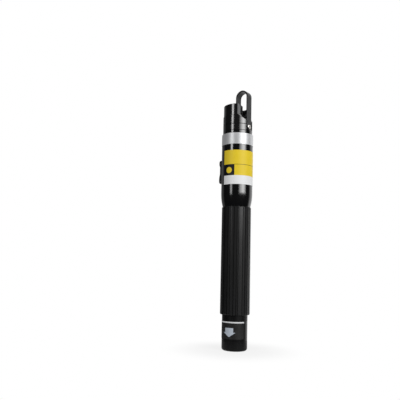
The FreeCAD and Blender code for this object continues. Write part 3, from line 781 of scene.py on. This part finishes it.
# %% [markdown]
# ## The room
#
# The world is the room round the tool. The camera and the glass see it as
# plain white. A glossy ray finds a white wall behind the tool to the right and
# a grey one behind it to the left, which give the black body its thin bright
# edges. Everywhere else it finds almost black, which keeps the black deep.
# What falls on matt surfaces is a weak even fill, so the lamps keep the
# modelling of the light.

# %% World
VIEW_AZIMUTH = -57.1
ROOM_FILL = 0.32
FRONT_GLOSS = 0.02
GREY_WALL = 0.20

world = bpy.data.worlds.new("studio world")
bpy.context.scene.world = world
world.use_nodes = True
room = Graph(world.node_tree)
room.tree.nodes.clear()
rays = room.add("ShaderNodeLightPath").outputs
direction = room.add("ShaderNodeTexCoord").outputs["Generated"]


def level_direction(turn):
    """A level direction, in degrees from the middle of the view."""
    bearing = math.radians(VIEW_AZIMUTH + turn)
    return Vector((math.cos(bearing), math.sin(bearing), 0.0))


def wall(turn, full, gone):
    """1 for directions within the angle full of a bearing, 0 beyond the angle gone."""
    facing = room.add("ShaderNodeVectorMath", operation="DOT_PRODUCT")
    room.feed(facing.inputs[0], direction)
    facing.inputs[1].default_value = level_direction(turn)
    return room.remap(facing.outputs["Value"], math.cos(math.radians(gone)),
                      math.cos(math.radians(full)), 0.0, 1.0)


white_wall = wall(149.0, full=36.0, gone=48.0)
grey_wall = room.sum("MULTIPLY", wall(215.0, full=28.0, gone=38.0), GREY_WALL)
walls = room.sum("MAXIMUM", room.sum("MAXIMUM", white_wall, grey_wall), FRONT_GLOSS)
glossy = room.sum("MULTIPLY", rays["Is Glossy Ray"], walls)
matt = room.sum("MULTIPLY", rays["Is Diffuse Ray"], ROOM_FILL)
seen = room.sum("MAXIMUM", rays["Is Camera Ray"], rays["Is Transmission Ray"])
level = room.sum("MAXIMUM", room.sum("MAXIMUM", glossy, matt), seen)
backdrop = room.add("ShaderNodeBackground")
room.feed(backdrop.inputs["Color"], rgba((1.0, 1.0, 1.0)))
room.feed(backdrop.inputs["Strength"], level)
room.feed(room.add("ShaderNodeOutputWorld").inputs["Surface"], backdrop.outputs["Background"])
print("room set: fill %.2f, grey wall %.2f" % (ROOM_FILL, GREY_WALL))

# %% [markdown]
# ## Lamps
#
# Two soft boxes draw the two upright highlights on the barrel. A studio soft
# box is brightest in the middle of its cloth and falls off to the sides, so
# the wide right-hand one is three panels of one height, each narrower than the
# last and turned a little further. The left-hand box is a narrow strip with a
# second panel on its upper part, which is the brighter one. That panel stands
# a centimetre nearer, because a mirror-like surface sees only one of two
# panels in one plane.

# %% Lamps
BOX_DISTANCE = 1.20
BOX_HIGH = 1.00
WIDE_LOW = 0.21
STRIP_LOW = 0.18
STRIP_TOP_LOW = 0.37
STRIP = (-49.5, -35.0)


def soft_box(name, first, last, low, high, radiance, distance=BOX_DISTANCE):
    """A lamp between two bearings and two heights, by its brightness as seen."""
    data = bpy.data.lights.new(name, "AREA")
    data.shape = "RECTANGLE"
    data.size = 2 * distance * math.tan(math.radians(last - first) / 2)
    data.size_y = high - low
    data.energy = radiance * data.size * data.size_y * math.pi
    lamp = bpy.data.objects.new(name, data)
    bpy.context.scene.collection.objects.link(lamp)
    outward = level_direction((first + last) / 2)
    spot = outward * distance + Vector((0.0, 0.0, (low + high) / 2))
    facing = (-outward).to_track_quat("-Z", "Y").to_matrix().to_4x4()
    lamp.matrix_world = Matrix.Translation(spot) @ facing
    print("%s at %s" % (name, [round(v, 2) for v in spot]))


soft_box("wide box cloth", 15.0, 69.0, WIDE_LOW, BOX_HIGH, radiance=1.9)
soft_box("wide box middle", 24.0, 62.0, WIDE_LOW, BOX_HIGH, radiance=2.0)
soft_box("wide box tube", 35.0, 55.0, WIDE_LOW, BOX_HIGH, radiance=2.0)
soft_box("strip box cloth", *STRIP, STRIP_LOW, BOX_HIGH, radiance=2.7)
soft_box("strip box top", *STRIP, STRIP_TOP_LOW, BOX_HIGH, radiance=2.3,
         distance=BOX_DISTANCE - 0.01)

# %% [markdown]
# ## Camera
#
# The camera stands a third of a metre away, a little below the middle of the
# tool, looking slightly up and to the tool's right. Its three axes are built
# from the view direction, then from how far it pitches and rolls.

# %% Camera
CAMERA_BEARING = math.radians(-53.2)
PITCH = math.radians(7.42)
LEAN = math.radians(1.44)
EYE_OUT = 0.3520
EYE_LEFT = 0.0240
EYE_UP = 0.05385
SENSOR_MM = 36.0
LENS_MM = 46.47

near = Vector((math.cos(CAMERA_BEARING), math.sin(CAMERA_BEARING), 0.0))
right = Vector((-math.sin(CAMERA_BEARING), math.cos(CAMERA_BEARING), 0.0))
up = Vector((0.0, 0.0, 1.0))
eye = near * EYE_OUT - right * EYE_LEFT + up * EYE_UP
cam_right = right * math.cos(LEAN) + up * math.sin(LEAN)
cam_level = up * math.cos(LEAN) - right * math.sin(LEAN)
cam_up = cam_level * math.cos(PITCH) + near * math.sin(PITCH)
cam_back = near * math.cos(PITCH) - cam_level * math.sin(PITCH)
camera_data = bpy.data.cameras.new("camera")
camera_data.sensor_width = SENSOR_MM
camera_data.lens = LENS_MM
camera = bpy.data.objects.new("camera", camera_data)
bpy.context.scene.collection.objects.link(camera)
axes = Matrix((cam_right, cam_up, cam_back)).transposed()
camera.matrix_world = Matrix.Translation(eye) @ axes.to_4x4()
bpy.context.scene.camera = camera
bpy.context.scene.view_settings.view_transform = "Standard"
print("camera at", [round(v, 4) for v in eye])
